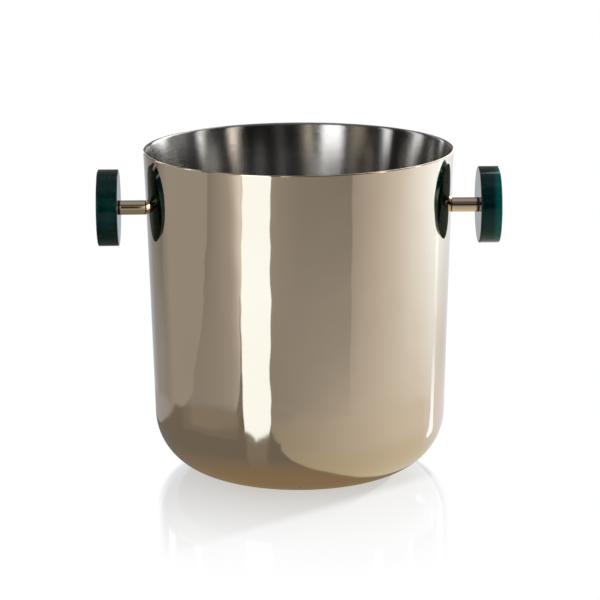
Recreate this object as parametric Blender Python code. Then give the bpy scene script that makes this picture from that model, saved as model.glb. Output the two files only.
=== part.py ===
"""Double-walled ice bucket with a disc handle bolted to each side.

Metres, +Z up. The origin is the centre of the base on the surface it stands on, and the handles lie
along X. Every handle piece is turned about the local Z of its handle's empty, which points outwards
from the bucket's axis, so a "reach" below is a distance from the bucket's axis.
"""

import math

import bmesh
import bpy

# Bucket
HEIGHT = 0.214
RIM_RADIUS = 0.1015
WALL_TAPER = 0.0253
FLARE = 0.0006
FLARE_DEPTH = 0.030
BASE_CORNER_RADIUS = 0.038
SHELL_THICKNESS = 0.0008
LIP_HEIGHT = 0.003
LIP_INSET = 0.0012
RECESS_RADIUS = 0.047
RECESS_STEP = 0.003
RECESS_DEPTH = 0.0012

# Liner, measured on the face that holds the ice
LINER_THICKNESS = 0.0007
LINER_LIP_HEIGHT = 0.003
LINER_LIP_INSET = 0.0016
LINER_FLARE = 0.0056
LINER_FLARE_DEPTH = 0.025
LINER_CORNER_RADIUS = 0.031
FLOOR_HEIGHT = 0.008

# Handles
HANDLE_HEIGHT = 0.175
DISC_RADIUS = 0.0252
DISC_THICKNESS = 0.0138
DISC_EDGE_RADIUS = 0.0009
DISC_FACE_REACH = 0.1181
POST_RADIUS = 0.00475
POST_CHAMFER = 0.0003
GASKET_THICKNESS = 0.0005

# M5 hardware: button head screw, plain washer and threaded insert
SCREW_RADIUS = 0.0025
SCREW_LENGTH = 0.030
TIP_CHAMFER = 0.0005
HEAD_RADIUS = 0.00475
HEAD_HEIGHT = 0.00275
HEAD_EDGE = 0.0005
HEAD_TOP_RADIUS = 0.0024
SOCKET_ACROSS_FLATS = 0.003
SOCKET_DEPTH = 0.0015
WASHER_RADIUS = 0.005
WASHER_THICKNESS = 0.001
INSERT_RADIUS = 0.004
INSERT_LENGTH = 0.009
INSERT_GROOVE = 0.0006
KNURL_DEPTH = 0.0002

# Clearance between neighbouring pieces, and between a flat ring and the tapered wall beside it
GAP = 0.0003
WALL_GAP = 0.00045

CLEARANCE_RADIUS = SCREW_RADIUS + GAP
INSERT_BORE_RADIUS = INSERT_RADIUS + GAP
INSERT_BORE_SPARE = 0.0009

# Facets
SHELL_SEGMENTS = 48
DISC_SEGMENTS = 40
SMALL_SEGMENTS = 24
CORNER_STEPS = 6
WALL_STEPS = 5
LIP_STEPS = 3
DOME_STEPS = 3
SHARP_ANGLE = math.radians(30)

LIP_START = HEIGHT - LIP_HEIGHT
SEAM_RADIUS = RIM_RADIUS - LIP_INSET

# Material name: (colour, roughness, metallic)
FINISHES = {
    "champagne_gold_steel": ((0.78, 0.69, 0.56), 0.12, 1.0),
    "brushed_steel": ((0.62, 0.61, 0.60), 0.30, 1.0),
    "green_stone": ((0.01, 0.07, 0.06), 0.08, 0.0),
    "zinc_steel": ((0.60, 0.60, 0.62), 0.35, 1.0),
    "insert_brass": ((0.80, 0.62, 0.30), 0.35, 1.0),
    "gasket_rubber": ((0.03, 0.03, 0.03), 0.70, 0.0),
}


def clear_scene():
    """Removes whatever the scene starts with."""
    for leftover in list(bpy.data.objects):
        bpy.data.objects.remove(leftover)


def make_materials():
    """One Principled BSDF for each finish, by name."""
    made = {}
    for name, (colour, roughness, metallic) in FINISHES.items():
        material = bpy.data.materials.new(name)
        material.use_nodes = True
        shader = material.node_tree.nodes["Principled BSDF"]
        shader.inputs["Base Color"].default_value = (*colour, 1.0)
        shader.inputs["Roughness"].default_value = roughness
        shader.inputs["Metallic"].default_value = metallic
        made[name] = material
    return made


def outer_radius(height):
    """Outer radius of the shell's wall, below the lip."""
    depth = LIP_START - height
    return RIM_RADIUS - WALL_TAPER * depth - FLARE * (1 - math.exp(-depth / FLARE_DEPTH))


def liner_lip():
    """Lip of the liner: its half-ellipse parameter where the wall takes over, and that point."""
    slope = WALL_TAPER + LINER_FLARE / LINER_FLARE_DEPTH
    start = math.atan(slope * LINER_LIP_HEIGHT / LINER_LIP_INSET)
    radius = SEAM_RADIUS - GAP - LINER_LIP_INSET * math.cos(start)
    height = HEIGHT - LINER_LIP_HEIGHT * (1 - math.sin(start))
    return start, radius, height


def liner_radius(height):
    """Radius of the liner's ice side, below its lip."""
    _, top_radius, top_height = liner_lip()
    depth = top_height - height
    return top_radius - WALL_TAPER * depth - LINER_FLARE * (1 - math.exp(-depth / LINER_FLARE_DEPTH))


def bowl_wall(radius_at, floor_height, corner_radius, top_height):
    """Points of a bowl's face, from the edge of its flat floor, round the corner and up the wall."""
    slope = math.atan(WALL_TAPER)
    tangent_height = floor_height + corner_radius * (1 - math.sin(slope))
    centre_radius = radius_at(tangent_height) - corner_radius * math.cos(slope)
    points = []
    for step in range(CORNER_STEPS + 1):
        angle = -math.pi / 2 + (math.pi / 2 - slope) * step / CORNER_STEPS
        radius = centre_radius + corner_radius * math.cos(angle)
        points.append((radius, floor_height + corner_radius * (1 + math.sin(angle))))
    for step in range(WALL_STEPS - 1, -1, -1):
        height = top_height - (top_height - tangent_height) * (step / WALL_STEPS) ** 2
        points.append((radius_at(height), height))
    return points


def shell_face():
    """Outer face of the shell, from the middle of its recessed base to the seam at the rim."""
    points = [
        (0.0, RECESS_DEPTH),
        (RECESS_RADIUS, RECESS_DEPTH),
        (RECESS_RADIUS + RECESS_STEP, 0.0),
    ]
    points += bowl_wall(outer_radius, 0.0, BASE_CORNER_RADIUS, LIP_START)
    for step in range(1, LIP_STEPS + 1):
        angle = math.pi / 2 * step / LIP_STEPS
        radius = SEAM_RADIUS + LIP_INSET * math.cos(angle)
        points.append((radius, LIP_START + LIP_HEIGHT * math.sin(angle)))
    return points


def liner_face():
    """Ice side of the liner, from the middle of its floor to the seam at the rim."""
    start, _, top_height = liner_lip()
    points = [(0.0, FLOOR_HEIGHT)]
    points += bowl_wall(liner_radius, FLOOR_HEIGHT, LINER_CORNER_RADIUS, top_height)
    for step in range(1, LIP_STEPS + 1):
        angle = start + (math.pi / 2 - start) * step / LIP_STEPS
        radius = SEAM_RADIUS - GAP - LINER_LIP_INSET * math.cos(angle)
        points.append((radius, HEIGHT - LINER_LIP_HEIGHT * (1 - math.sin(angle))))
    return points


def sheet_section(face, thickness):
    """Closed section of a sheet: its face, then the face's copy at that distance to the right of it.
    The edge at the seam, where the face ends, is cut upright."""
    back = []
    for index, (radius, height) in enumerate(face):
        before = face[max(index - 1, 0)]
        after = face[min(index + 1, len(face) - 1)]
        run = math.hypot(after[0] - before[0], after[1] - before[1])
        normal = ((after[1] - before[1]) / run, (before[0] - after[0]) / run)
        offset_radius = radius + thickness * normal[0] if radius > 0 else 0.0
        back.append((offset_radius, height + thickness * normal[1]))
    back[-1] = (face[-1][0], face[-1][1] - abs(thickness))
    return face + back[::-1]


def turned(name, section, segments, half_step=False):
    """Mesh of a section of (radius, height) points turned about Z. A section that starts on the axis
    ends there too; any other one is a closed ring. half_step puts the middle of a facet on the X axis."""
    bm = bmesh.new()
    rings = []
    for radius, height in section:
        if radius == 0.0:
            rings.append([bm.verts.new((0.0, 0.0, height))])
            continue
        ring = []
        for step in range(segments):
            angle = 2 * math.pi * (step + (0.5 if half_step else 0.0)) / segments
            ring.append(bm.verts.new((radius * math.cos(angle), radius * math.sin(angle), height)))
        rings.append(ring)
    pairs = list(zip(rings, rings[1:]))
    if section[0][0] > 0:
        pairs.append((rings[-1], rings[0]))
    for low, high in pairs:
        for step in range(segments):
            following = (step + 1) % segments
            corners = [low[step % len(low)], low[following % len(low)]]
            corners += [high[following % len(high)], high[step % len(high)]]
            bm.faces.new(list(dict.fromkeys(corners)))
    bmesh.ops.recalc_face_normals(bm, faces=bm.faces)
    mesh = bpy.data.meshes.new(name)
    bm.to_mesh(mesh)
    bm.free()
    mesh.shade_smooth()
    mesh.set_sharp_from_angle(angle=SHARP_ANGLE)
    return mesh


def knurl(mesh, segments):
    """Sinks every other column of the insert's outer surface to cut its grip flutes."""
    for vertex in mesh.vertices:
        radius = math.hypot(vertex.co.x, vertex.co.y)
        column = round(math.atan2(vertex.co.y, vertex.co.x) / (2 * math.pi) * segments)
        if radius > INSERT_RADIUS - KNURL_DEPTH and column % 2:
            scale = (radius - KNURL_DEPTH) / radius
            vertex.co.x *= scale
            vertex.co.y *= scale


def ring_section(inner, outer, start, end, chamfer=0.0):
    """Closed section of a ring or sleeve between two reaches."""
    if not chamfer:
        return [(inner, start), (outer, start), (outer, end), (inner, end)]
    return [
        (inner, start),
        (outer - chamfer, start),
        (outer, start + chamfer),
        (outer, end - chamfer),
        (outer - chamfer, end),
        (inner, end),
    ]


def insert_section(start):
    """Section of the threaded insert: two barrels with a glue groove between them."""
    middle = start + INSERT_LENGTH / 2
    groove_radius = INSERT_RADIUS - INSERT_GROOVE
    return [
        (CLEARANCE_RADIUS, start),
        (INSERT_RADIUS, start),
        (INSERT_RADIUS, middle - INSERT_GROOVE),
        (groove_radius, middle - INSERT_GROOVE),
        (groove_radius, middle + INSERT_GROOVE),
        (INSERT_RADIUS, middle + INSERT_GROOVE),
        (INSERT_RADIUS, start + INSERT_LENGTH),
        (CLEARANCE_RADIUS, start + INSERT_LENGTH),
    ]


def disc_section(bore_end):
    """Section of the disc, with rounded edges and a blind bore for the insert in its inner face."""
    back = DISC_FACE_REACH + DISC_THICKNESS
    rounding = DISC_EDGE_RADIUS
    halfway = rounding * (1 - math.sqrt(0.5))
    return [
        (0.0, bore_end),
        (INSERT_BORE_RADIUS, bore_end),
        (INSERT_BORE_RADIUS, DISC_FACE_REACH),
        (DISC_RADIUS - rounding, DISC_FACE_REACH),
        (DISC_RADIUS - halfway, DISC_FACE_REACH + halfway),
        (DISC_RADIUS, DISC_FACE_REACH + rounding),
        (DISC_RADIUS, back - rounding),
        (DISC_RADIUS - halfway, back - halfway),
        (DISC_RADIUS - rounding, back),
        (0.0, back),
    ]


def screw_section(head_reach):
    """Section of the screw, from its tip to the domed head. head_reach is the head's underside."""
    tip = head_reach + SCREW_LENGTH
    section = [
        (0.0, tip),
        (SCREW_RADIUS - TIP_CHAMFER, tip),
        (SCREW_RADIUS, tip - TIP_CHAMFER),
        (SCREW_RADIUS, head_reach),
        (HEAD_RADIUS, head_reach),
    ]
    for step in range(DOME_STEPS + 1):
        angle = math.pi / 2 * step / DOME_STEPS
        radius = HEAD_TOP_RADIUS + (HEAD_RADIUS - HEAD_TOP_RADIUS) * math.cos(angle)
        rise = HEAD_EDGE + (HEAD_HEIGHT - HEAD_EDGE) * math.sin(angle)
        section.append((radius, head_reach - rise))
    section.append((0.0, head_reach - HEAD_HEIGHT))
    return section


def plug_section(radius, start, end):
    """Section of a plain cylinder, for the cutters."""
    return [(0.0, start), (radius, start), (radius, end), (0.0, end)]


def add_object(name, mesh, material=None, parent=None):
    """Links an object for a mesh. The mesh keeps the first material that it is given."""
    if material and not mesh.materials:
        mesh.materials.append(material)
    made = bpy.data.objects.new(name, mesh)
    made.parent = parent
    bpy.context.scene.collection.objects.link(made)
    return made


def cut(target, name, mesh, parent):
    """Cuts a hidden tool out of the target."""
    tool = add_object(name, mesh, parent=parent)
    tool.hide_render = True
    tool.display_type = "WIRE"
    boolean = target.modifiers.new(name, "BOOLEAN")
    boolean.operation = "DIFFERENCE"
    boolean.object = tool


def make_shells(materials):
    """The outer shell and the liner that hangs inside it from the rim."""
    shell_mesh = turned(
        "outer_shell", sheet_section(shell_face(), -SHELL_THICKNESS), SHELL_SEGMENTS, half_step=True
    )
    liner_mesh = turned(
        "inner_liner", sheet_section(liner_face(), LINER_THICKNESS), SHELL_SEGMENTS, half_step=True
    )
    add_object("inner_liner", liner_mesh, materials["brushed_steel"])
    return add_object("outer_shell", shell_mesh, materials["champagne_gold_steel"])


def handle_meshes():
    """Meshes of one handle by piece name, with each piece's finish, and its two cutters."""
    wall_outside = outer_radius(HANDLE_HEIGHT) * math.cos(math.pi / SHELL_SEGMENTS)
    wall_gasket_start = wall_outside + WALL_GAP
    post_start = wall_gasket_start + GASKET_THICKNESS + GAP
    disc_gasket_start = DISC_FACE_REACH - GAP - GASKET_THICKNESS
    post_end = disc_gasket_start - GAP
    insert_start = DISC_FACE_REACH + GAP
    bore_end = insert_start + INSERT_LENGTH + INSERT_BORE_SPARE
    washer_end = wall_outside - SHELL_THICKNESS - WALL_GAP
    washer_start = washer_end - WASHER_THICKNESS
    head_reach = washer_start - GAP
    head_top = head_reach - HEAD_HEIGHT
    bore = CLEARANCE_RADIUS

    wall_ring = ring_section(bore, POST_RADIUS, wall_gasket_start, wall_gasket_start + GASKET_THICKNESS)
    disc_ring = ring_section(bore, POST_RADIUS, disc_gasket_start, disc_gasket_start + GASKET_THICKNESS)
    post = ring_section(bore, POST_RADIUS, post_start, post_end, POST_CHAMFER)
    washer = ring_section(bore, WASHER_RADIUS, washer_start, washer_end)
    insert = turned("threaded_insert", insert_section(insert_start), SMALL_SEGMENTS)
    knurl(insert, SMALL_SEGMENTS)
    pieces = {
        "screw": (turned("screw", screw_section(head_reach), SMALL_SEGMENTS), "zinc_steel"),
        "washer": (turned("washer", washer, SMALL_SEGMENTS), "zinc_steel"),
        "wall_gasket": (turned("wall_gasket", wall_ring, SMALL_SEGMENTS), "gasket_rubber"),
        "post": (turned("post", post, SMALL_SEGMENTS), "champagne_gold_steel"),
        "disc_gasket": (turned("disc_gasket", disc_ring, SMALL_SEGMENTS), "gasket_rubber"),
        "threaded_insert": (insert, "insert_brass"),
        "disc": (turned("disc", disc_section(bore_end), DISC_SEGMENTS), "green_stone"),
    }
    hole_tool = turned("wall_hole_tool", plug_section(bore, washer_start, post_start), SMALL_SEGMENTS)
    corner_radius = SOCKET_ACROSS_FLATS / 2 / math.cos(math.pi / 6)
    socket = plug_section(corner_radius, head_top - SOCKET_DEPTH, head_top + SOCKET_DEPTH)
    return pieces, hole_tool, turned("socket_tool", socket, 6)


def make_handles(shell, materials):
    """Both handles, from shared meshes, and the screw holes in the shell."""
    pieces, hole_tool, socket_tool = handle_meshes()
    for side, turn in (("right", math.pi / 2), ("left", -math.pi / 2)):
        mount = bpy.data.objects.new(side + "_handle", None)
        mount.location = (0.0, 0.0, HANDLE_HEIGHT)
        mount.rotation_euler = (0.0, turn, 0.0)
        bpy.context.scene.collection.objects.link(mount)
        for piece, (mesh, finish) in pieces.items():
            made = add_object(f"{side}_{piece}", mesh, materials[finish], mount)
            if piece == "screw":
                cut(made, side + "_socket_tool", socket_tool, mount)
        cut(shell, side + "_wall_hole_tool", hole_tool, mount)


clear_scene()
finishes = make_materials()
make_handles(make_shells(finishes), finishes)
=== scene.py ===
"""Looks of a double-walled ice bucket with a disc handle on each side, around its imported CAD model.

Metres, +Z up, with the handles along X. An azimuth is an angle round the bucket in degrees: 0 is the
front, on the camera's side (-Y), and 90 is the right (+X).
"""

import math

import bmesh
import bpy
from mathutils import Matrix, Vector


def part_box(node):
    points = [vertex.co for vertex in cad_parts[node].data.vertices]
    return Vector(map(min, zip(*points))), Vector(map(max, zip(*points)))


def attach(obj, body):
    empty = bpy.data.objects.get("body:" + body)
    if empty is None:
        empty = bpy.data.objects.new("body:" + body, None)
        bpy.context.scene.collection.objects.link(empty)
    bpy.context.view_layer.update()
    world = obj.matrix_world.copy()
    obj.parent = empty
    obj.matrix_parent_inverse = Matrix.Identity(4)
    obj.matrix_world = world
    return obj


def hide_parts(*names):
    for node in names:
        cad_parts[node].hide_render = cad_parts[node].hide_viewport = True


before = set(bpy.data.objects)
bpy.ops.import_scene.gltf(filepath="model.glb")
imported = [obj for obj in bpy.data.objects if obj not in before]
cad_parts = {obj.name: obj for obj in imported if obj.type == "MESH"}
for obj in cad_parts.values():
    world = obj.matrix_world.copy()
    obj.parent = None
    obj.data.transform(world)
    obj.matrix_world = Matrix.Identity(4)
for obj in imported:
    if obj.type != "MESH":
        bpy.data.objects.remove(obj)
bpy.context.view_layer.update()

# Camera, in the bucket's own frame
CAMERA_DISTANCE = 1.561
CAMERA_HEIGHT = 0.4866
CAMERA_SIDE = 0.0005
CAMERA_PITCH = math.radians(13.516)
CAMERA_YAW = math.radians(1.1)
CAMERA_ROLL = -0.0055
CAMERA_LENS = 145.04
CAMERA_SENSOR = 36.0
CAMERA_CLIP_END = 50.0

# Bucket: the sizes come from its box in the CAD, and the curves are repeated from the CAD's design, apart
# from the shell's lip, which is finer here
CAD_SEGMENTS = 48
SHELL_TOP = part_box("outer_shell")[1]
HEIGHT = SHELL_TOP.z
RIM_RADIUS = SHELL_TOP.x / math.cos(math.pi / CAD_SEGMENTS)
WALL_TAPER = 0.0253
FLARE = 0.0006
FLARE_DEPTH = 0.030
BASE_CORNER_RADIUS = 0.038
SHELL_THICKNESS = 0.0008
LIP_HEIGHT = 0.0006
LIP_INSET = 0.0006
RECESS_RADIUS = 0.047
RECESS_STEP = 0.003
RECESS_DEPTH = 0.0012
LINER_THICKNESS = 0.0007
LINER_LIP_HEIGHT = 0.003
LINER_LIP_INSET = 0.0016
LINER_FLARE = 0.0056
LINER_FLARE_DEPTH = 0.025
LINER_CORNER_RADIUS = 0.031
FLOOR_HEIGHT = 0.008
LIP_START = HEIGHT - LIP_HEIGHT
SEAM_RADIUS = RIM_RADIUS - LIP_INSET
SEAM_WIDTH = 0.00005

# Handles
HOLE_RADIUS = 0.0028
DISC_EDGE_RADIUS = 0.0009
POST_EDGE_RADIUS = 0.0003
GASKET_EDGE_RADIUS = 0.0001
GASKET_THICKNESS = 0.0005
GASKET_WALL_PART = 1.2 * GASKET_EDGE_RADIUS
WALL_CLEARANCE = 0.00008
BORE_SPARE_RADIUS = 0.0002
BORE_SPARE_DEPTH = 0.0009

# Smoothness of the turned pieces
SHELL_SEGMENTS = 256
DISC_SEGMENTS = 160
SMALL_SEGMENTS = 64
HOLE_SEGMENTS = 32
CORNER_STEPS = 36
WALL_STEPS = 56
WALL_STEP_POWER = 1.5
LIP_STEPS = 10
EDGE_STEPS = 6
STRAIGHT_PART = 0.15
SHARP_ANGLE = math.radians(35)
# The wall's exact normals stop NORMAL_MARGIN below the lip. Its slope is measured NORMAL_STEP up and down.
NORMAL_MARGIN = 0.001
NORMAL_STEP = 0.0005

# Darker and lighter shade of each material
GOLD_SHADES = ((0.79, 0.64, 0.465), (0.81, 0.66, 0.49))
STEEL_SHADES = ((0.40, 0.39, 0.38), (0.48, 0.47, 0.455))
RUBBER_SHADES = ((0.008, 0.008, 0.008), (0.018, 0.018, 0.017))
ZINC_SHADES = ((0.52, 0.52, 0.54), (0.66, 0.66, 0.68))
BRASS_SHADES = ((0.62, 0.44, 0.18), (0.78, 0.58, 0.27))
RAMP_START = 0.3
RAMP_END = 0.7
STONE_SHADES = [
    (0.32, (0.0003, 0.0065, 0.0058)),
    (0.50, (0.0004, 0.0095, 0.0082)),
    (0.64, (0.0007, 0.0150, 0.0125)),
    (0.80, (0.0020, 0.0300, 0.0250)),
]
STONE_GLOW_RADIUS = (0.15, 0.9, 0.8)
STONE_SHEEN = (0.60, 0.92, 1.0, 1.0)
# Painted glow in the right disc's stone: a lighter teal at the edge of its outer face, for light from the
# right that shines through
GLOW_COLOUR = (0.0008, 0.062, 0.056, 1.0)
GLOW_DEPTH = 0.0045
GLOW_WANDER = 0.004
GLOW_EDGE = 0.0005


# ---------------------------------------------------------------- sections


def outer_radius(height):
    """Outer radius of the shell's wall, below the lip."""
    depth = LIP_START - height
    return RIM_RADIUS - WALL_TAPER * depth - FLARE * (1 - math.exp(-depth / FLARE_DEPTH))


def liner_lip():
    """Lip of the liner: its half-ellipse parameter where the wall takes over, and that point."""
    slope = WALL_TAPER + LINER_FLARE / LINER_FLARE_DEPTH
    start = math.atan(slope * LINER_LIP_HEIGHT / LINER_LIP_INSET)
    radius = SEAM_RADIUS - SEAM_WIDTH - LINER_LIP_INSET * math.cos(start)
    height = HEIGHT - LINER_LIP_HEIGHT * (1 - math.sin(start))
    return start, radius, height


def liner_radius(height):
    """Radius of the liner's ice side, below its lip."""
    _, top_radius, top_height = liner_lip()
    depth = top_height - height
    flare = LINER_FLARE * (1 - math.exp(-depth / LINER_FLARE_DEPTH))
    return top_radius - WALL_TAPER * depth - flare


def bowl_wall(radius_at, floor_height, corner_radius, top_height):
    """Points of a bowl's face, from the edge of its flat floor, round the corner and up the wall. The
    steps up the wall get shorter towards the rim."""
    slope = math.atan(WALL_TAPER)
    tangent_height = floor_height + corner_radius * (1 - math.sin(slope))
    centre_radius = radius_at(tangent_height) - corner_radius * math.cos(slope)
    points = []
    for step in range(CORNER_STEPS + 1):
        angle = -math.pi / 2 + (math.pi / 2 - slope) * step / CORNER_STEPS
        radius = centre_radius + corner_radius * math.cos(angle)
        points.append((radius, floor_height + corner_radius * (1 + math.sin(angle))))
    for step in range(WALL_STEPS - 1, -1, -1):
        share = (step / WALL_STEPS) ** WALL_STEP_POWER
        height = top_height - (top_height - tangent_height) * share
        points.append((radius_at(height), height))
    return points


def shell_face():
    """Outer face of the shell, from the middle of its recessed base to the seam at the rim."""
    points = [
        (0.0, RECESS_DEPTH),
        (RECESS_RADIUS, RECESS_DEPTH),
        (RECESS_RADIUS + RECESS_STEP, 0.0),
    ]
    points += bowl_wall(outer_radius, 0.0, BASE_CORNER_RADIUS, LIP_START)
    for step in range(1, LIP_STEPS + 1):
        angle = math.pi / 2 * step / LIP_STEPS
        radius = SEAM_RADIUS + LIP_INSET * math.cos(angle)
        points.append((radius, LIP_START + LIP_HEIGHT * math.sin(angle)))
    return points


def liner_face():
    """Ice side of the liner, from the middle of its floor to the seam at the rim."""
    start, _, top_height = liner_lip()
    points = [(0.0, FLOOR_HEIGHT)]
    points += bowl_wall(liner_radius, FLOOR_HEIGHT, LINER_CORNER_RADIUS, top_height)
    for step in range(1, LIP_STEPS + 1):
        angle = start + (math.pi / 2 - start) * step / LIP_STEPS
        radius = SEAM_RADIUS - SEAM_WIDTH - LINER_LIP_INSET * math.cos(angle)
        points.append((radius, HEIGHT - LINER_LIP_HEIGHT * (1 - math.sin(angle))))
    return points


def sheet_section(face, thickness):
    """Closed section of a sheet: its face, then the face's copy at that distance to the right of it.
    The edge at the seam, where the face ends, is cut upright."""
    back = []
    for index, (radius, height) in enumerate(face):
        before = face[max(index - 1, 0)]
        after = face[min(index + 1, len(face) - 1)]
        run = math.hypot(after[0] - before[0], after[1] - before[1])
        normal = ((after[1] - before[1]) / run, (before[0] - after[0]) / run)
        offset_radius = radius + thickness * normal[0] if radius > 0 else 0.0
        back.append((offset_radius, height + thickness * normal[1]))
    back[-1] = (face[-1][0], face[-1][1] - abs(thickness))
    return face + back[::-1]


def rounded(corner, before, after, size):
    """Points of a quarter round of that size at a corner of a section, between its two neighbours. It
    starts and ends with a short straight part, which keeps the shading of the flat faces flat."""
    corner = Vector(corner)
    entry = (Vector(before) - corner).normalized() * size
    leave = (Vector(after) - corner).normalized() * size
    centre = corner + entry + leave
    points = []
    for step in range(EDGE_STEPS + 1):
        angle = math.pi / 2 * step / EDGE_STEPS
        point = centre - leave * math.cos(angle) - entry * math.sin(angle)
        points.append(tuple(point))
    straight = 1 + STRAIGHT_PART
    return [tuple(corner + entry * straight)] + points + [tuple(corner + leave * straight)]


def sleeve_section(inner, outer, start, end, edge):
    """Closed section of a ring or sleeve between two reaches, with its outer edges rounded."""
    corners = [(inner, start), (outer, start), (outer, end), (inner, end)]
    section = [corners[0]]
    section += rounded(corners[1], corners[0], corners[2], edge)
    section += rounded(corners[2], corners[1], corners[3], edge)
    return section + [corners[3]]


def disc_section(radius, start, end, bore_radius, bore_end, edge):
    """Section of a disc with rounded edges and a blind bore in its inner face."""
    corners = [(bore_radius, start), (radius, start), (radius, end), (0.0, end)]
    section = [(0.0, bore_end), (bore_radius, bore_end), corners[0]]
    section += rounded(corners[1], corners[0], corners[2], edge)
    section += rounded(corners[2], corners[1], corners[3], edge)
    return section + [corners[3]]


# ---------------------------------------------------------------- meshes


def turned(name, section, segments):
    """Mesh of a section of (radius, height) points turned about Z. A section that starts on the axis
    ends there too; any other one is a closed ring."""
    bm = bmesh.new()
    rings = []
    for radius, height in section:
        if radius == 0.0:
            rings.append([bm.verts.new((0.0, 0.0, height))])
            continue
        ring = []
        for step in range(segments):
            angle = 2 * math.pi * step / segments
            ring.append(bm.verts.new((radius * math.cos(angle), radius * math.sin(angle), height)))
        rings.append(ring)
    pairs = list(zip(rings, rings[1:]))
    if section[0][0] > 0:
        pairs.append((rings[-1], rings[0]))
    for low, high in pairs:
        for step in range(segments):
            following = (step + 1) % segments
            corners = [low[step % len(low)], low[following % len(low)]]
            corners += [high[following % len(high)], high[step % len(high)]]
            bm.faces.new(list(dict.fromkeys(corners)))
    bmesh.ops.recalc_face_normals(bm, faces=bm.faces)
    mesh = bpy.data.meshes.new(name)
    bm.to_mesh(mesh)
    bm.free()
    mesh.shade_smooth()
    mesh.set_sharp_from_angle(angle=SHARP_ANGLE)
    return mesh


def add_object(name, data):
    """Links a new object to the scene."""
    made = bpy.data.objects.new(name, data)
    bpy.context.scene.collection.objects.link(made)
    return made


def add_piece(name, mesh, material, replaced=None):
    """Links a piece of the object, which rides on its only body and stands for a CAD node."""
    made = add_object(name, mesh)
    mesh.materials.clear()
    mesh.materials.append(material)
    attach(made, "root")
    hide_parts(replaced or name)
    return made


# ---------------------------------------------------------------- materials


class Nodes:
    """The node tree of one new material, with a Principled BSDF."""

    def __init__(self, name, **values):
        self.material = bpy.data.materials.new(name)
        self.material.use_nodes = True
        self.tree = self.material.node_tree
        self.shader = self.tree.nodes["Principled BSDF"]
        for socket, value in values.items():
            self.shader.inputs[socket.replace("_", " ")].default_value = value

    def add(self, kind, inputs=None, **settings):
        """A node, with its inputs set to numbers or linked to other nodes' outputs."""
        node = self.tree.nodes.new("ShaderNode" + kind)
        for setting, value in settings.items():
            setattr(node, setting, value)
        for key, value in (inputs or {}).items():
            if isinstance(value, bpy.types.NodeSocket):
                self.tree.links.new(value, node.inputs[key])
            else:
                node.inputs[key].default_value = value
        return node

    def math(self, operation, first, second=0.0):
        return self.add("Math", {0: first, 1: second}, operation=operation).outputs[0]

    def vector_math(self, operation, inputs):
        return self.add("VectorMath", inputs, operation=operation)

    def length(self, vector):
        return self.vector_math("LENGTH", {0: vector}).outputs["Value"]

    def position(self):
        """Object coordinates, in metres."""
        return self.add("TexCoord").outputs["Object"]

    def noise(self, vector, scale, detail=2.0, roughness=0.5):
        inputs = {"Vector": vector, "Scale": scale, "Detail": detail, "Roughness": roughness}
        return self.add("TexNoise", inputs).outputs["Fac"]

    def between(self, factor, low, high):
        """Maps a factor from 0..1 to the range from low to high."""
        inputs = {"Value": factor, "To Min": low, "To Max": high}
        return self.add("MapRange", inputs).outputs[0]

    def smooth(self, value, start, end, low, high):
        """Low before the start, high after the end, and a smooth change between them."""
        inputs = {"Value": value, "From Min": start, "From Max": end, "To Min": low, "To Max": high}
        return self.add("MapRange", inputs, interpolation_type="SMOOTHSTEP").outputs[0]

    def ramp(self, factor, stops):
        """Colour ramp through (position, colour) stops."""
        node = self.add("ValToRGB", {"Fac": factor})
        elements = node.color_ramp.elements
        while len(elements) < len(stops):
            elements.new(0.5)
        for element, (position, colour) in zip(elements, stops):
            element.position = position
            element.color = (*colour, 1.0)
        return node.outputs["Color"]

    def shade(self, factor, shades):
        """Base colour between a darker and a lighter shade."""
        self.link(self.ramp(factor, list(zip((RAMP_START, RAMP_END), shades))), "Base Color")

    def link(self, output, socket):
        self.tree.links.new(output, self.shader.inputs[socket])

    def bump(self, height, distance):
        node = self.add("Bump", {"Height": height, "Distance": distance, "Strength": 1.0})
        self.link(node.outputs["Normal"], "Normal")

    def turned_lines(self, around, along):
        """Coordinates in which noise is drawn out into lines round the Z axis, without a seam."""
        parts = self.add("SeparateXYZ", {"Vector": self.position()})
        flat = self.add("CombineXYZ", {"X": parts.outputs["X"], "Y": parts.outputs["Y"]})
        radius = self.length(flat.outputs[0])
        way = self.vector_math("NORMALIZE", {0: flat.outputs[0]}).outputs[0]
        spread = self.vector_math("SCALE", {0: way, "Scale": around}).outputs[0]
        across = self.math("MULTIPLY", self.math("ADD", radius, parts.outputs["Z"]), along)
        split = self.add("SeparateXYZ", {"Vector": spread})
        inputs = {"X": split.outputs["X"], "Y": split.outputs["Y"], "Z": across}
        return self.add("CombineXYZ", inputs).outputs[0]


def gold_steel():
    """Steel with a pale champagne-gold coating, polished nearly to a mirror, with faint wipe marks."""
    nodes = Nodes("gold_steel", Metallic=1.0)
    place = nodes.position()
    nodes.shade(nodes.noise(place, scale=14.0, detail=3.0), GOLD_SHADES)
    wipe = nodes.noise(nodes.turned_lines(around=2.0, along=900.0), scale=1.0, detail=3.0)
    nodes.link(nodes.between(wipe, low=0.03, high=0.055), "Roughness")
    nodes.bump(nodes.noise(place, scale=34.0, detail=1.0), distance=0.00035)
    return nodes.material


def brushed_steel():
    """Bare stainless steel, finely brushed round the bucket's axis."""
    nodes = Nodes("brushed_steel", Metallic=1.0, Anisotropic=1.0, Anisotropic_Rotation=0.25)
    place = nodes.turned_lines(around=1.6, along=3200.0)
    lines = nodes.noise(place, scale=1.0, detail=4.0, roughness=0.6)
    nodes.shade(lines, STEEL_SHADES)
    nodes.link(nodes.between(lines, low=0.15, high=0.22), "Roughness")
    tangent = nodes.add("Tangent", direction_type="RADIAL", axis="Z")
    nodes.link(tangent.outputs["Tangent"], "Tangent")
    nodes.bump(lines, distance=0.000025)
    return nodes.material


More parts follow.
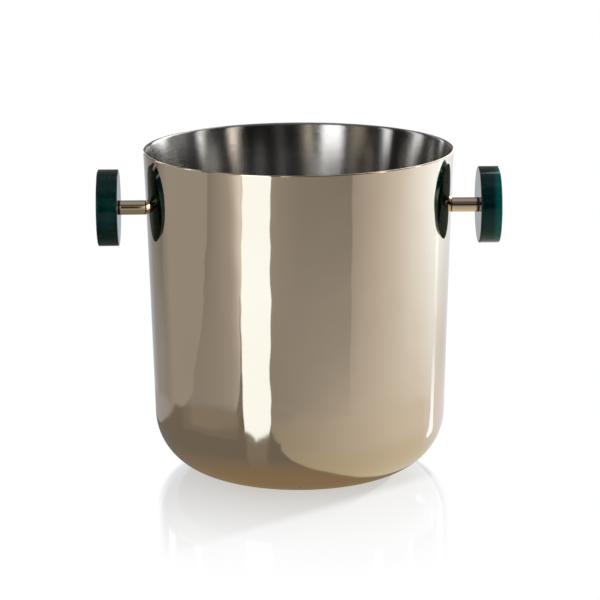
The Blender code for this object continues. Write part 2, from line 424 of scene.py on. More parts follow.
def painted_glow(nodes, place):
    """How much painted glow the right disc's stone gets, for light from the right that shines through: all
    of it at the edge of the outer face, and less inwards and towards the face's middle."""
    low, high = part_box("right_disc")
    disc_radius = (high.z - low.z) / 2
    wander = nodes.math("MULTIPLY", nodes.noise(place, scale=60.0, detail=4.0), GLOW_WANDER)
    reach = nodes.add("SeparateXYZ", {"Vector": place}).outputs["X"]
    reach = nodes.math("ADD", reach, wander)
    outwards = nodes.smooth(reach, high.x - GLOW_DEPTH, high.x, 0.0, 1.0)
    # The cross product with X is (0, z, -y), a quarter turn about X, and the disc's axis is turned with it
    crossed = nodes.vector_math("CROSS_PRODUCT", {0: place, 1: (1.0, 0.0, 0.0)}).outputs[0]
    axis = (0.0, (low.z + high.z) / 2, 0.0)
    from_axis = nodes.length(nodes.vector_math("SUBTRACT", {0: crossed, 1: axis}).outputs[0])
    from_axis = nodes.math("ADD", from_axis, nodes.math("MULTIPLY", wander, 0.5))
    at_edge = nodes.smooth(from_axis, disc_radius - GLOW_DEPTH, disc_radius - GLOW_EDGE, 0.0, 1.0)
    return nodes.math("MULTIPLY", outwards, at_edge)


def green_stone():
    """Very dark green stone, faintly mottled, polished to a wet gloss. Near the right disc's outer face a
    lighter teal is painted in, as a painted glow of the light from the right that comes through there."""
    nodes = Nodes("green_stone", IOR=1.5, Specular_IOR_Level=0.40)
    nodes.shader.inputs["Subsurface Weight"].default_value = 1.0
    nodes.shader.inputs["Subsurface Scale"].default_value = 0.003
    nodes.shader.inputs["Subsurface Radius"].default_value = STONE_GLOW_RADIUS
    nodes.shader.inputs["Specular Tint"].default_value = STONE_SHEEN
    place = nodes.position()
    mottle = nodes.noise(place, scale=70.0, detail=5.0, roughness=0.55)
    base = nodes.ramp(mottle, STONE_SHADES)
    # Painted glow: a lighter teal at the right disc's outer edge, for light that shines through the stone
    mixed = nodes.add("MixRGB", {0: painted_glow(nodes, place), 1: base, 2: GLOW_COLOUR})
    nodes.link(mixed.outputs[0], "Base Color")
    polish = nodes.noise(place, scale=320.0)
    nodes.link(nodes.between(polish, low=0.05, high=0.08), "Roughness")
    nodes.bump(polish, distance=0.00001)
    return nodes.material


def black_rubber():
    """Matte black rubber."""
    nodes = Nodes("black_rubber")
    grain = nodes.noise(nodes.position(), scale=2500.0, detail=3.0)
    nodes.shade(grain, RUBBER_SHADES)
    nodes.link(nodes.between(grain, low=0.5, high=0.7), "Roughness")
    nodes.bump(grain, distance=0.00003)
    return nodes.material


def machined(name, shades):
    """Turned or plated metal of the hidden fasteners."""
    nodes = Nodes(name, Metallic=1.0)
    grain = nodes.noise(nodes.position(), scale=1400.0, detail=3.0)
    nodes.shade(grain, shades)
    nodes.link(nodes.between(grain, low=0.28, high=0.42), "Roughness")
    return nodes.material


# ---------------------------------------------------------------- the bucket


def with_screw_holes(mesh):
    """A copy of the shell's mesh with the two screw holes cut through its wall."""
    shell = add_object("uncut_shell", mesh)
    low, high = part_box("right_post")
    height = (low.z + high.z) / 2
    reach = 2 * high.x
    section = [(0.0, -reach), (HOLE_RADIUS, -reach), (HOLE_RADIUS, reach), (0.0, reach)]
    tool_mesh = turned("hole_tool", section, HOLE_SEGMENTS)
    tool_mesh.transform(Matrix.Translation((0, 0, height)) @ Matrix.Rotation(math.pi / 2, 4, "Y"))
    tool = add_object("hole_tool", tool_mesh)
    boolean = shell.modifiers.new("holes", "BOOLEAN")
    boolean.operation = "DIFFERENCE"
    boolean.object = tool
    evaluated = shell.evaluated_get(bpy.context.evaluated_depsgraph_get())
    cut_mesh = bpy.data.meshes.new_from_object(evaluated)
    bpy.data.objects.remove(shell)
    bpy.data.objects.remove(tool)
    return cut_mesh


def keep_wall_shading(mesh):
    """Gives every point of the outer wall the normal of the turned surface, so that the faces cut by the
    screw holes reflect as smoothly as the rest. Other points keep their own normals."""
    normals = []
    for vertex in mesh.vertices:
        x, y, z = vertex.co
        radius = math.hypot(x, y)
        normal = Vector((0, 0, 0))
        on_wall = BASE_CORNER_RADIUS < z < LIP_START - NORMAL_MARGIN
        if on_wall and radius > outer_radius(z) - SHELL_THICKNESS / 3:
            rise = outer_radius(z + NORMAL_STEP) - outer_radius(z - NORMAL_STEP)
            slope = rise / (2 * NORMAL_STEP)
            normal = Vector((x / radius, y / radius, -slope)).normalized()
        normals.append(normal)
    mesh.normals_split_custom_set_from_vertices(normals)


def make_bucket(gold, steel):
    shell = turned("outer_shell", sheet_section(shell_face(), -SHELL_THICKNESS), SHELL_SEGMENTS)
    shell = with_screw_holes(shell)
    keep_wall_shading(shell)
    add_piece("shell", shell, gold, "outer_shell")
    liner = turned("liner", sheet_section(liner_face(), LINER_THICKNESS), SHELL_SEGMENTS)
    add_piece("liner", liner, steel, "inner_liner")


def seat_on_wall(mesh, height, start):
    """Bends the wall side of a flat ring, at its lowest reach, to follow the bucket's wall."""
    for vertex in mesh.vertices:
        if vertex.co.z < start + GASKET_WALL_PART:
            above = height - vertex.co.x
            wall = math.sqrt(max(outer_radius(above) ** 2 - vertex.co.y**2, 0))
            vertex.co.z += wall + WALL_CLEARANCE - start


def make_handle(side, turn, materials):
    """One handle, with its pieces tight against each other. They are turned about Z, then laid along X,
    outwards from the bucket."""
    low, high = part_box("right_post")
    height = (low.z + high.z) / 2
    post_radius = (high.y - low.y) / 2
    disc_low, disc_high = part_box("right_disc")
    disc_radius = (disc_high.z - disc_low.z) / 2
    insert_low, insert_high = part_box("right_threaded_insert")
    bore_radius = (insert_high.z - insert_low.z) / 2 + BORE_SPARE_RADIUS
    bore_end = insert_high.x + BORE_SPARE_DEPTH
    wall_start = outer_radius(height)
    post_start = wall_start + GASKET_THICKNESS
    post_end = disc_low.x - GASKET_THICKNESS
    disc = disc_section(disc_radius, disc_low.x, disc_high.x, bore_radius, bore_end, DISC_EDGE_RADIUS)
    sleeves = {
        "post": (post_start, post_end, POST_EDGE_RADIUS),
        "wall_gasket": (wall_start, post_start, GASKET_EDGE_RADIUS),
        "disc_gasket": (post_end, disc_low.x, GASKET_EDGE_RADIUS),
    }
    meshes = {
        piece: turned(piece, sleeve_section(HOLE_RADIUS, post_radius, *reaches), SMALL_SEGMENTS)
        for piece, reaches in sleeves.items()
    }
    meshes["disc"] = turned("disc", disc, DISC_SEGMENTS)
    seat_on_wall(meshes["wall_gasket"], height, wall_start)
    lay_down = Matrix.Translation((0, 0, height)) @ Matrix.Rotation(turn, 4, "Y")
    for piece, material, slot in (
        ("post", "gold", "gold_shell"),
        ("disc", "stone", "green_stone"),
        ("wall_gasket", "rubber", "gasket_rubber"),
        ("disc_gasket", "rubber", "gasket_rubber"),
    ):
        mesh = meshes[piece]
        mesh.transform(lay_down)
        add_piece(f"{side}_{piece}_surface", mesh, materials[material], f"{side}_{piece}")


def finish_hidden_hardware():
    """Materials for the CAD nodes that stay: the screws, washers and inserts."""
    zinc = machined("zinc_plate", ZINC_SHADES)
    brass = machined("turned_brass", BRASS_SHADES)
    for side in ("left", "right"):
        for piece, material in (("screw", zinc), ("washer", zinc), ("threaded_insert", brass)):
            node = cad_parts[f"{side}_{piece}"]
            node.data.materials.clear()
            node.data.materials.append(material)


# ---------------------------------------------------------------- mirrored room

# The bucket and its handles mirror a drum of painted light round them, which nothing else sees. Its floor
# is a table, and its wall goes from FLOOR_LIGHT at its foot through WALL_LIGHT to ROOM_LIGHT. Stops are
# (azimuth, brightness), or (azimuth, brightness, warmth) where the light isn't of the usual shade.
DRUM_RADIUS = 0.55
TABLE_HEIGHT = -0.10
JOINT_HEIGHT = -0.092
FLOOR_LIGHT = [
    (-180, 0.60, -0.15),
    (-155, 0.46, -0.15),
    (-140, 0.32, -0.08),
    (-112, 0.30),
    (-79.5, 0.30),
    (-60, 0.33),
    (-50, 0.38),
    (-46, 0.44),
    (-42, 0.60),
    (-21, 0.31),
    (-10, 0.32),
    (10, 0.35),
    (35.0, 0.39),
    (35.6, 0.46),
    (54, 0.60),
    (72, 0.70),
    (86, 0.78),
    (100, 0.84),
    (114, 0.92),
    (126, 0.80),
    (140, 0.72),
    (160, 0.76),
    (180, 0.62),
]
WALL_LIGHT = [
    (-180, 0.60, -0.15),
    (-155, 0.48, -0.15),
    (-140, 0.28, -0.08),
    (-118, 0.17),
    (-76.5, 0.24),
    (-68, 0.24),
    (-56, 0.34),
    (-50, 0.40),
    (-47, 0.52),
    (-42, 0.84),
    (-21, 0.38),
    (-14, 0.32),
    (0, 0.27),
    (35.0, 0.255),
    (35.6, 0.37),
    (54, 0.55),
    (72, 0.72),
    (84, 0.88),
    (96, 1.02),
    (112, 1.16),
    (124, 1.12),
    (136, 0.98),
    (160, 0.76),
    (180, 0.62),
]
ROOM_LIGHT = [
    (-180, 0.22, 0.0),
    (-157, 0.22, 0.0),
    (-156, 2.0, 0.0),
    (-152, 2.0, 0.0),
    (-150, 0.04, 0.0),
    (-124, 0.10, 0.0),
    (-120, 1.80, 0.0),
    (-113, 1.80, 0.0),
    (-109, 0.10, 0.0),
    (-100, 0.0, 0.0),
    (-87, 0.02, 0.0),
    (-84, 2.20, 0.0),
    (-79.5, 2.20, 0.0),
    (-77, 0.04, 0.0),
    (-63, 0.04, 0.3),
    (-57, 0.50, 0.35),
    (-50, 0.50, 0.35),
    (-44, 0.06, 0.1),
    (-40, 0.20, 0.0),
    (-21, 0.20, 0.1),
    (-20, 0.12, 0.1),
    (-13.5, 0.12, 0.1),
    (-12, 1.30, 0.3),
    (-8, 0.80, 0.3),
    (-4, 0.10, 0.3),
    (3, 0.0, 0.0),
    (11, 0.0, 0.0),
    (12.5, 0.10, 0.0),
    (18.5, 0.10, 0.0),
    (20, 0.0, 0.0),
    (48, 0.0, 0.0),
    (53, 0.12, 0.25),
    (55.5, 3.40, 0.25),
    (58.5, 3.40, 0.25),
    (61, 0.04, 0.1),
    (81, 0.03, 0.0),
    (85.5, 0.06, 0.0),
    (87, 3.00, 0.1),
    (90.5, 3.00, 0.0),
    (93, 0.10, 0.0),
    (103, 0.12, 0.0),
    (107, 0.40, 0.0),
    (128, 0.40, 0.0),
    (135, 3.2, 0.0),
    (150, 3.2, 0.0),
    (156, 3.2, 0.0),
    (157, 0.22, 0.0),
    (180, 0.22, 0.0),
]
DRUM_LEVELS = [
    (JOINT_HEIGHT, FLOOR_LIGHT),
    (-0.055, FLOOR_LIGHT),
    (0.085, WALL_LIGHT),
    (0.115, WALL_LIGHT),
    (0.19, ROOM_LIGHT),
    (0.30, ROOM_LIGHT),
    (0.34, ROOM_LIGHT),
    (0.56, ROOM_LIGHT),
]
# At its foot, the drum's wall takes on some of the table's light on the right
JOINT_BLEND = 0.6
JOINT_BLEND_RANGE = (-20, 30)
# Low in the room, the two sides of the camera that the handles mirror are dark
DARK_SIDES = [(-21, -13), (1, 46)]
DARK_START = 0.16
DARK_TOP = 0.32
# The room's cards end at ROOM_TOP, or BACK_TOP at the back, where everything overhead starts
ROOM_TOP = 0.62
BACK_START = 125
BACK_TOP = 1.0
DRUM_TOP = 1.3
OVERHEAD_LIGHT = Vector((0.10, 0.10, 0.10))
CEILING_LIGHT = Vector((0.34, 0.34, 0.34))
# Smoothness of the painted light
AZIMUTHS_PER_DEGREE = 2
TABLE_MIDDLE = 0.002
TABLE_RINGS = 110
CEILING_STEP = 10

# Light of the usual shade gets cooler over a range of brightness; warm light loses green and blue
NEUTRAL = Vector((1.0, 1.0, 1.0))
COOL_START = 0.6
COOL_RANGE = 0.6
COOL_GAIN = Vector((0.0, 0.18, 0.42))
WARM_LOSS = Vector((0.0, 0.4, 1.0))

# Lit part of the mirrored table: its level and tint, and how they change outwards and rightwards
LIT_LEVEL = 0.40
LIT_OUTWARDS = -0.08
LIT_RIGHTWARDS = 0.25
LIT_OUT_RIGHTWARDS = 0.17
LIT_RIGHT_RANGE = (-40, 110)
LIT_BACK_RANGE = (140, 180)
LIT_TINT = Vector((1.0, 0.92, 0.70))
LIT_TINT_OUTWARDS = Vector((0.0, 0.05, 0.20))
LIT_TINT_RIGHTWARDS = Vector((0.0, 0.03, 0.08))
# Behind the bucket it is cooler, and brighter on the right than on the left
BEHIND_LIGHT = Vector((0.80, 0.80, 0.86))
BEHIND_LEVEL = 0.73
BEHIND_SIDES = 0.27
BEHIND_BLEND = 25
BEHIND_RIGHT = (100, 118)
BEHIND_LEFT = (105, 125)
BEHIND_RADII = (0.2, 0.45)
# Part of it in the bucket's shadow
DIM_LEVEL = 0.27
DIM_OUTWARDS = -0.085
DIM_TINT = Vector((1.0, 0.79, 0.52))
DIM_TINT_OUTWARDS = Vector((0.0, 0.15, 0.33))
DIM_RADII = (0.07, 0.27)
# Less dim places there, as (gain, azimuths over which it starts, over which it ends, radii over which it
# starts): under the softbox, and two bands at the drum's foot
LESS_DIM = [
    (0.060, (-40.5, -37.5), (-25.5, -22.5), (0.10, 0.30)),
    (0.035, (-102, -96), (-48, -44), (0.485, 0.50)),
    (0.050, (-96, -84), (-48, -44), (0.512, 0.525)),
]
# Right edge of that shadow, as (y, x), and its straight edge at the back left, which bulges at the corner
SHADOW_EDGE = [(-0.55, -0.25), (-0.475, -0.20), (-0.455, -0.12), (-0.24, -0.03), (-0.17, 0.015)]
SHADOW_EDGE += [(-0.12, 0.048), (-0.07, 0.07), (0.0, 0.088), (0.11, 0.107), (0.3, 0.12), (0.55, 0.13)]
SHADOW_EDGE_SOFTNESS = 0.006
SHADOW_BACK = 0.62
SHADOW_BACK_SLOPE = 0.94
SHADOW_BACK_SOFTNESS = (-0.01, 0.02)
SHADOW_BULGE = 0.05
SHADOW_BULGE_START = (98, 106)
SHADOW_BULGE_END = (-145, -125)

# Cards stand just inside the drum, or lie just above its table
CARD_RADIUS = DRUM_RADIUS - 0.001
CARD_HEIGHT = TABLE_HEIGHT + 0.0005
CARD_STEPS = 20
# Softbox at the front left, as (height, left azimuth, right azimuth); above SOFTBOX_BREAK it is brighter
SOFTBOX_LEVEL = 1.22
SOFTBOX_UPPER_LEVEL = 3.2
SOFTBOX_BREAK = 0.15
SOFTBOX_SIDES = [
    (TABLE_HEIGHT, -42.2, -22.2),
    (-0.06, -42.8, -21.8),
    (0.10, -39.4, -19.5),
    (0.13, -41, -19),
    (0.17, -40, -21.5),
    (0.58, -40, -21.5),
]
# Its pointed foot on the table: depth at the sides, extra depth of the point, narrowing in degrees
FOOT_DEPTH = 0.046
FOOT_POINT = 0.020
FOOT_NARROWING = 1.0
# Dark gap on its left, as (height, left azimuth)
GAP_LEVEL = 0.21
GAP_RIGHT = -42.6
GAP_EDGE = [(-0.0995, -48.5), (-0.092, -47), (-0.08, -45), (-0.06, -43.8), (-0.03, -43.1), (0.0, -42.8)]
# Narrow softbox at the right, as (height, brightness), and its foot on the table, as (radius, left, right)
RIGHT_SOFTBOX_SIDES = (117, 122)
RIGHT_SOFTBOX = [(TABLE_HEIGHT, 1.15), (-0.04, 0.95), (0.10, 1.5), (0.16, 1.5)]
RIGHT_FOOT_LEVEL = 1.2
RIGHT_FOOT = [(CARD_RADIUS, 117, 122), (0.46, 114, 122), (0.36, 111, 122), (0.31, 112, 116)]
# Lighter panel at the left: it starts like the drum behind it, and its right edge is (azimuth, height)
PANEL_START = -119
PANEL_START_LEVEL = 0.27
PANEL_START_FALL = 0.3
PANEL_LIT_START = -108
PANEL_LEVEL = 0.36
PANEL_EDGE = [(-100, -0.0998), (-97, -0.0975), (-93.5, -0.0935), (-90.5, -0.088), (-87, -0.080)]
PANEL_EDGE += [(-84, -0.072), (-82.5, -0.062), (-79, -0.045), (-75.5, -0.025), (-72.5, 0.0)]
PANEL_EDGE += [(-68.5, 0.045), (-65.5, 0.087), (-65, 0.115)]
# Card above it, with its lower edge curved down in the middle
LEFT_CARD_START = -108
LEFT_CARD_WIDTH = 38.5
LEFT_CARD_STEPS = 12
LEFT_CARD_BOTTOM = 0.046
LEFT_CARD_CURVE = 0.016
LEFT_CARD_TOP = 0.16
LEFT_CARD_LEVELS = (0.62, 0.60)


def tint(brightness, warmth=None):
    """Colour of light: of the given warmth, or else a little cool where it is bright."""
    if warmth is not None:
        return brightness * (NEUTRAL - warmth * WARM_LOSS)
    cool = min(max((brightness - COOL_START) / COOL_RANGE, 0.0), 1.0)
    return brightness * (NEUTRAL + cool * COOL_GAIN)


def light_at(stops, azimuth):
    """Colour of the light between two stops."""
    for before, after in zip(stops, stops[1:]):
        if before[0] <= azimuth <= after[0]:
            share = (azimuth - before[0]) / (after[0] - before[0])
            return tint(*before[1:]).lerp(tint(*after[1:]), share)
    return tint(*stops[-1][1:])


def even_step(value, start, end):
    """0 before the start, 1 after the end, and a smooth change between them."""
    share = min(max((value - start) / (end - start), 0.0), 1.0)
    return share * share * (3 - 2 * share)


def around(radius, azimuth, height):
    """Point at an azimuth in degrees."""
    angle = math.radians(azimuth)
    return radius * math.sin(angle), -radius * math.cos(angle), height


def lit_table(radius, azimuth):
    """Colour of the mirrored table where it is lit."""
    rightwards = max(even_step(azimuth, *LIT_RIGHT_RANGE), even_step(-azimuth, *LIT_BACK_RANGE))
    outwards = radius / DRUM_RADIUS
    level = LIT_LEVEL + LIT_OUTWARDS * outwards**2
    level += (LIT_RIGHTWARDS + LIT_OUT_RIGHTWARDS * outwards**2) * rightwards
    lit = level * (LIT_TINT + outwards * LIT_TINT_OUTWARDS + rightwards * LIT_TINT_RIGHTWARDS)
    behind = max(even_step(azimuth, *BEHIND_RIGHT), even_step(-azimuth, *BEHIND_LEFT))
    behind *= even_step(radius, *BEHIND_RADII)
    side = math.copysign(even_step(180 - abs(azimuth), 0, BEHIND_BLEND), azimuth)
    return lit.lerp(BEHIND_LIGHT * (BEHIND_LEVEL + BEHIND_SIDES * side), behind)


def dim_table(radius, azimuth):
    """Colour of the mirrored table in the bucket's shadow."""
    outwards = even_step(radius, *DIM_RADII)
    level = DIM_LEVEL + DIM_OUTWARDS * outwards
    for gain, starts, ends, radii in LESS_DIM:
        between = even_step(azimuth, *starts) * (1 - even_step(azimuth, *ends))
        level += gain * between * even_step(radius, *radii)
    return level * (DIM_TINT + outwards * DIM_TINT_OUTWARDS)


def table_light(radius, azimuth):
    """Colour of the mirrored table: lit on the right, in the bucket's shadow on the left."""
    x, y, _ = around(radius, azimuth, 0)
    edge = SHADOW_EDGE[0][1]
    for (near_y, near_x), (far_y, far_x) in zip(SHADOW_EDGE, SHADOW_EDGE[1:]):
        if near_y <= y <= far_y:
            edge = near_x + (far_x - near_x) * (y - near_y) / (far_y - near_y)
    bulge = even_step(-azimuth, *SHADOW_BULGE_START) * even_step(azimuth, *SHADOW_BULGE_END)
    from_back = SHADOW_BACK + SHADOW_BULGE * bulge + SHADOW_BACK_SLOPE * x - y
    inside = even_step(edge - x, -SHADOW_EDGE_SOFTNESS, SHADOW_EDGE_SOFTNESS)
    inside *= even_step(from_back, *SHADOW_BACK_SOFTNESS)
    return lit_table(radius, azimuth).lerp(dim_table(radius, azimuth), inside)


def drum_light(height, stops, azimuth):
    """Colour of the drum's wall on one of its levels."""
    colour = light_at(stops, azimuth)
    if DARK_START < height < DARK_TOP:
        if any(left < azimuth < right for left, right in DARK_SIDES):
            colour = Vector((0.0, 0.0, 0.0))
    if height == JOINT_HEIGHT:
        share = JOINT_BLEND * even_step(azimuth, *JOINT_BLEND_RANGE)
        colour = colour.lerp(table_light(DRUM_RADIUS, azimuth), share)
    return colour


def upper_light(height, azimuth):
    """Colour of the drum's wall above the room's cards."""
    if height <= BACK_TOP and abs(azimuth) > BACK_START:
        return light_at(ROOM_LIGHT, azimuth)
    return CEILING_LIGHT if height == DRUM_TOP else OVERHEAD_LIGHT


def emission_material(name, attribute=None):
    """Gives out white light, or the colour painted on the mesh."""
    material = bpy.data.materials.new(name)
    material.use_nodes = True
    tree = material.node_tree
    tree.nodes.clear()
    emission = tree.nodes.new("ShaderNodeEmission")
    if attribute:
        painted = tree.nodes.new("ShaderNodeAttribute")
        painted.attribute_name = attribute
        tree.links.new(painted.outputs["Color"], emission.inputs["Color"])
    output = tree.nodes.new("ShaderNodeOutputMaterial")
    tree.links.new(emission.outputs[0], output.inputs["Surface"])
    return material


def hide_from(made, *rays):
    """Hides an object from kinds of rays."""
    for kind in rays:
        setattr(made, f"visible_{kind}", False)


def light_sheet(name, rows, material):
    """A sheet through rows of (point, colour) pairs, seen only by the pieces that mirror it."""
    points = [point for row in rows for point, _ in row]
    colours = [colour for row in rows for _, colour in row]
    width = len(rows[0])
    faces = []
    for row in range(len(rows) - 1):
        for column in range(width - 1):
            corner = row * width + column
            faces.append((corner, corner + 1, corner + width + 1, corner + width))
    mesh = bpy.data.meshes.new(name)
    mesh.from_pydata(points, [], faces)
    layer = mesh.color_attributes.new("light", "FLOAT_COLOR", "POINT")
    for entry, colour in zip(layer.data, colours):
        entry.color = (*colour, 1.0)
    mesh.materials.append(material)
    sheet = add_object(name, mesh)
    hide_from(sheet, "camera", "diffuse", "transmission", "shadow")


def strip(radius, height, left, right, colour, steps=1):
    """A row of points between two azimuths, of one colour."""
    row = []
    for step in range(steps + 1):
        row.append((around(radius, left + (right - left) * step / steps, height), colour))
    return row


def table_ring(radius, azimuths):
    """A row of points round the mirrored table."""
    return [(around(radius, azimuth, TABLE_HEIGHT), table_light(radius, azimuth)) for azimuth in azimuths]


def make_drum(material):
    """The drum's wall, and its table and ceiling."""
    half_turn = 180 * AZIMUTHS_PER_DEGREE
    azimuths = [step / AZIMUTHS_PER_DEGREE for step in range(-half_turn, half_turn + 1)]
    rows = [table_ring(DRUM_RADIUS, azimuths)]
    for height, stops in DRUM_LEVELS:
        row = []
        for azimuth in azimuths:
            colour = drum_light(height, stops, azimuth)
            row.append((around(DRUM_RADIUS, azimuth, height), colour))
        rows.append(row)
    for height in (ROOM_TOP, BACK_TOP, DRUM_TOP):
        row = []
        for azimuth in azimuths:
            colour = upper_light(height, azimuth)
            row.append((around(DRUM_RADIUS, azimuth, height), colour))
        rows.append(row)
    light_sheet("drum", rows, material)
    rows = []
    for ring in range(TABLE_RINGS + 1):
        radius = TABLE_MIDDLE + (DRUM_RADIUS - TABLE_MIDDLE) * ring / TABLE_RINGS
        rows.append(table_ring(radius, range(-180, 181)))
    light_sheet("mirrored_table", rows, material)
    steps = 360 // CEILING_STEP
    rows = []
    for radius in (TABLE_MIDDLE, DRUM_RADIUS):
        rows.append(strip(radius, DRUM_TOP, -180, 180, CEILING_LIGHT, steps))
    light_sheet("ceiling", rows, material)


def make_softbox(material):
    """A tall softbox at the front left, with a pointed foot on the table and a dark gap beside it."""
    white = tint(SOFTBOX_LEVEL)
    rows = []
    for height, left, right in SOFTBOX_SIDES:
        colour = white
        if height > SOFTBOX_BREAK:
            colour = tint(SOFTBOX_UPPER_LEVEL, 0.0)
        rows.append(strip(CARD_RADIUS, height, left, right, colour, CARD_STEPS))
    light_sheet("left_softbox", rows, material)
    _, left, right = SOFTBOX_SIDES[0]
    near = []
    for step in range(CARD_STEPS + 1):
        share = step / CARD_STEPS
        from_middle = 2 * share - 1
        azimuth = left + (right - left) * share - FOOT_NARROWING * from_middle
        depth = FOOT_DEPTH + FOOT_POINT * (1 - abs(from_middle))
        near.append((around(CARD_RADIUS - depth, azimuth, CARD_HEIGHT), white))
    far = strip(CARD_RADIUS, CARD_HEIGHT, left, right, white, CARD_STEPS)
    light_sheet("softbox_foot", [far, near], material)
    rows = []
    for height, left in GAP_EDGE:
        rows.append(strip(CARD_RADIUS, height, left, GAP_RIGHT, tint(GAP_LEVEL)))
    light_sheet("gap_beside_softbox", rows, material)


def make_right_softbox(material):
    """A narrow softbox at the right, and its foot on the table."""
    rows = []
    for height, level in RIGHT_SOFTBOX:
        rows.append(strip(CARD_RADIUS, height, *RIGHT_SOFTBOX_SIDES, tint(level)))
    light_sheet("right_softbox", rows, material)
    rows = []
    for radius, left, right in RIGHT_FOOT:
        rows.append(strip(radius, CARD_HEIGHT, left, right, tint(RIGHT_FOOT_LEVEL)))
    light_sheet("right_softbox_foot", rows, material)


def make_left_cards(material):
    """A lighter panel at the left, and a card above it."""
    lit = tint(PANEL_LEVEL)
    rows = []
    for azimuth, height in PANEL_EDGE:
        base = tint(PANEL_START_LEVEL - PANEL_START_FALL * height)
        row = []
        for place, colour in ((PANEL_START, base), (PANEL_LIT_START, lit), (azimuth, lit)):
            row.append((around(CARD_RADIUS, place, height), colour))
        rows.append(row)
    light_sheet("left_panel", rows, material)
    rows = []
    for step in range(LEFT_CARD_STEPS + 1):
        share = step / LEFT_CARD_STEPS
        azimuth = LEFT_CARD_START + LEFT_CARD_WIDTH * share
        bottom = LEFT_CARD_BOTTOM + LEFT_CARD_CURVE * abs(2 * share - 1) ** 3
        row = []
        for height, level in zip((bottom, LEFT_CARD_TOP), LEFT_CARD_LEVELS):
            row.append((around(CARD_RADIUS, azimuth, height), tint(level)))
        rows.append(row)
    light_sheet("left_card", rows, material)


# ---------------------------------------------------------------- floor, backdrop and lights

# Floor: how strongly it mirrors the bucket at its foot, how far out that fades, how much more it mirrors in
# its painted soft shadow, which darkens it there, and the line where that painted shadow starts
FLOOR_SIZE = 6.0
FLOOR_DROP = 0.0002
FLOOR_GLOSS = 0.16
FLOOR_START = 0.10
FLOOR_END = 0.24
FLOOR_FADE_POWER = 1.5
FLOOR_MIRROR = {"Color": (0.80, 0.88, 1.0, 1.0), "Roughness": 0.04}
SHADOW_GAIN = 2.2
SHADOW_LINE_X = 0.0335
SHADOW_LINE_Y = -0.083
SHADOW_LINE_SIDE = 0.66
SHADOW_LINE_FRONT = 0.75
SHADOW_SOFTNESS = 0.008
# Mirror image of the bucket in the floor: how far behind the middle its outline starts, and the softness
# of its edge
IMAGE_SHIFT = 0.017
IMAGE_SOFTNESS = 0.003
BACKDROP_SUBDIVISIONS = 4
# Light for what doesn't mirror: name, place, size and energy
WORLD_STRENGTH = 0.3
LIGHTS = [
    ("right_light", (1.1, 0.25, 0.35), 0.5, 26),
    ("front_light", (-0.3, -1.2, 0.5), 0.8, 16),
]
LIGHT_TARGET = Vector((0, 0, 0.15))


def floor_fade(nodes, place):
    """How much of the floor's mirroring is left: 1 at FLOOR_START, more inside it, 0 at FLOOR_END."""
    width = FLOOR_END - FLOOR_START
    used = nodes.math("DIVIDE", nodes.length(place), width)
    rest = nodes.math("SUBTRACT", FLOOR_END / width, used)
    return nodes.math("POWER", nodes.math("MAXIMUM", rest, 0.0), FLOOR_FADE_POWER)


def floor_shadow(nodes, x, y):
    """Painted shadow: how much more the floor mirrors, on each side of the shadow's line. Mirroring more
    darkens it there.
    """
    across = nodes.math("MULTIPLY", nodes.math("SUBTRACT", x, SHADOW_LINE_X), -SHADOW_LINE_SIDE)
    along = nodes.math("MULTIPLY", nodes.math("SUBTRACT", y, SHADOW_LINE_Y), SHADOW_LINE_FRONT)
    depth = nodes.math("ADD", across, along)
    return nodes.smooth(depth, -SHADOW_SOFTNESS, SHADOW_SOFTNESS, 1.0, SHADOW_GAIN)


def inside_image(nodes, x, y):
    """1 inside the outline of the bucket's mirror image on the floor. Its half width is the bucket's own
    at the height mirrored there, brought in by the share of the way from that point to the camera."""
    way = nodes.math("DIVIDE", nodes.math("SUBTRACT", IMAGE_SHIFT, y), CAMERA_DISTANCE)
    way = nodes.math("MAXIMUM", way, 0.0)
    rest = nodes.math("SUBTRACT", 1.0, way)
    mirrored = nodes.math("MULTIPLY", nodes.math("DIVIDE", way, rest), CAMERA_HEIGHT)
    in_corner = nodes.math("MINIMUM", mirrored, BASE_CORNER_RADIUS)
    below_centre = nodes.math("SUBTRACT", BASE_CORNER_RADIUS, in_corner)
    squared = nodes.math("SUBTRACT", BASE_CORNER_RADIUS**2, nodes.math("POWER", below_centre, 2.0))
    flat_radius = outer_radius(BASE_CORNER_RADIUS) - BASE_CORNER_RADIUS
    half_width = nodes.math("ADD", nodes.math("SQRT", squared), flat_radius)
    half_width = nodes.math("ADD", half_width, nodes.math("MULTIPLY", mirrored, WALL_TAPER))
    half_width = nodes.math("MULTIPLY", half_width, rest)
    outside = nodes.math("SUBTRACT", nodes.math("ABSOLUTE", x), half_width)
    return nodes.smooth(outside, -IMAGE_SOFTNESS, IMAGE_SOFTNESS, 1.0, 0.0)


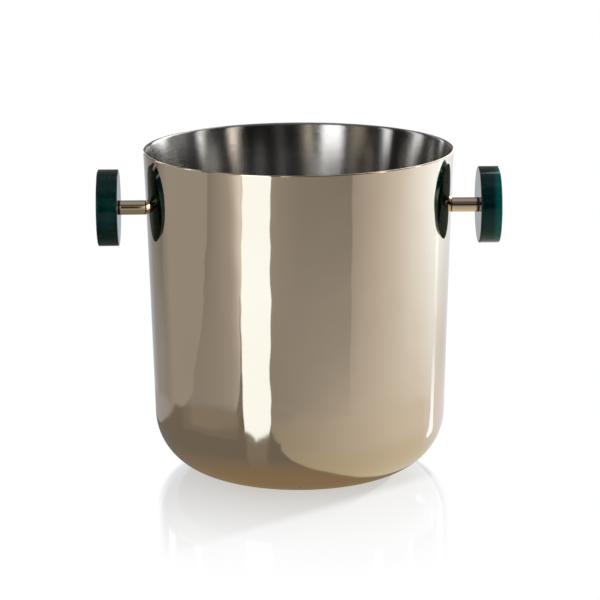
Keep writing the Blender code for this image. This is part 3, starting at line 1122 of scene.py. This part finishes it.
def make_floor():
    """A white glossy floor. Its mirror image of the bucket fades with the distance, and is stronger in a
    painted soft shadow to the front left, which darkens the floor there. From below it is clear, so the
    underside shows."""
    size = FLOOR_SIZE
    corners = [(-size, -size, 0), (size, -size, 0), (size, size, 0), (-size, size, 0)]
    mesh = bpy.data.meshes.new("floor")
    mesh.from_pydata(corners, [], [(0, 1, 2, 3)])
    floor = add_object("floor", mesh)
    floor.location.z = -FLOOR_DROP
    hide_from(floor, "glossy", "diffuse")
    nodes = Nodes("white_floor")
    place = nodes.position()
    parts = nodes.add("SeparateXYZ", {"Vector": place})
    x = parts.outputs["X"]
    y = parts.outputs["Y"]
    # Painted shadow: the floor mirrors more inside it, which darkens the floor there
    amount = nodes.math("MULTIPLY", floor_fade(nodes, place), floor_shadow(nodes, x, y))
    amount = nodes.math("MULTIPLY", amount, FLOOR_GLOSS)
    amount = nodes.math("MULTIPLY", amount, inside_image(nodes, x, y))
    white = nodes.add("Emission", {"Color": (1.0, 1.0, 1.0, 1.0), "Strength": 1.0})
    mirror = nodes.add("BsdfGlossy", FLOOR_MIRROR)
    mixed = nodes.add("MixShader", {0: amount, 1: white.outputs[0], 2: mirror.outputs[0]})
    below = nodes.add("NewGeometry").outputs["Backfacing"]
    clear = nodes.add("BsdfTransparent")
    mixed = nodes.add("MixShader", {0: below, 1: mixed.outputs[0], 2: clear.outputs[0]})
    output = next(node for node in nodes.tree.nodes if node.type == "OUTPUT_MATERIAL")
    nodes.tree.links.new(mixed.outputs[0], output.inputs["Surface"])
    nodes.tree.nodes.remove(nodes.shader)
    mesh.materials.append(nodes.material)


def make_backdrop():
    """A white dome round everything, seen only by the camera, so that every view has a pale background."""
    bm = bmesh.new()
    bmesh.ops.create_icosphere(bm, subdivisions=BACKDROP_SUBDIVISIONS, radius=FLOOR_SIZE)
    mesh = bpy.data.meshes.new("backdrop")
    bm.to_mesh(mesh)
    bm.free()
    mesh.materials.append(emission_material("white_backdrop"))
    backdrop = add_object("backdrop", mesh)
    hide_from(backdrop, "glossy", "diffuse", "transmission", "shadow")


def make_lights():
    """Even light for the parts that don't mirror, and a strong soft light from the right that glows in the
    stone there."""
    world = bpy.data.worlds.new("studio")
    world.use_nodes = True
    background = world.node_tree.nodes["Background"]
    background.inputs["Color"].default_value = (1.0, 1.0, 1.0, 1.0)
    background.inputs["Strength"].default_value = WORLD_STRENGTH
    world.cycles_visibility.glossy = False
    bpy.context.scene.world = world
    for name, place, size, energy in LIGHTS:
        data = bpy.data.lights.new(name, "AREA")
        data.size = size
        data.energy = energy
        light = add_object(name, data)
        light.location = place
        light.rotation_euler = (LIGHT_TARGET - light.location).to_track_quat("-Z", "Y").to_euler()
        hide_from(light, "glossy")


def make_studio():
    painted = emission_material("painted_light", "light")
    make_drum(painted)
    make_softbox(painted)
    make_right_softbox(painted)
    make_left_cards(painted)
    make_floor()
    make_backdrop()
    make_lights()


def make_camera():
    camera_data = bpy.data.cameras.new("camera")
    camera_data.lens = CAMERA_LENS
    camera_data.sensor_width = CAMERA_SENSOR
    camera_data.clip_end = CAMERA_CLIP_END
    camera = add_object("camera", camera_data)
    turn = Matrix.Rotation(-CAMERA_YAW, 4, "Z")
    place = turn @ Matrix.Translation((CAMERA_SIDE, -CAMERA_DISTANCE, CAMERA_HEIGHT))
    tilt = Matrix.Rotation(math.pi / 2 - CAMERA_PITCH, 4, "X") @ Matrix.Rotation(CAMERA_ROLL, 4, "Z")
    camera.matrix_world = place @ tilt
    bpy.context.scene.camera = camera


make_camera()
gold = gold_steel()
make_bucket(gold, brushed_steel())
handle_materials = {"gold": gold, "stone": green_stone(), "rubber": black_rubber()}
make_handle("right", math.pi / 2, handle_materials)
make_handle("left", -math.pi / 2, handle_materials)
finish_hidden_hardware()
make_studio()
bpy.context.scene.view_settings.view_transform = "Standard"
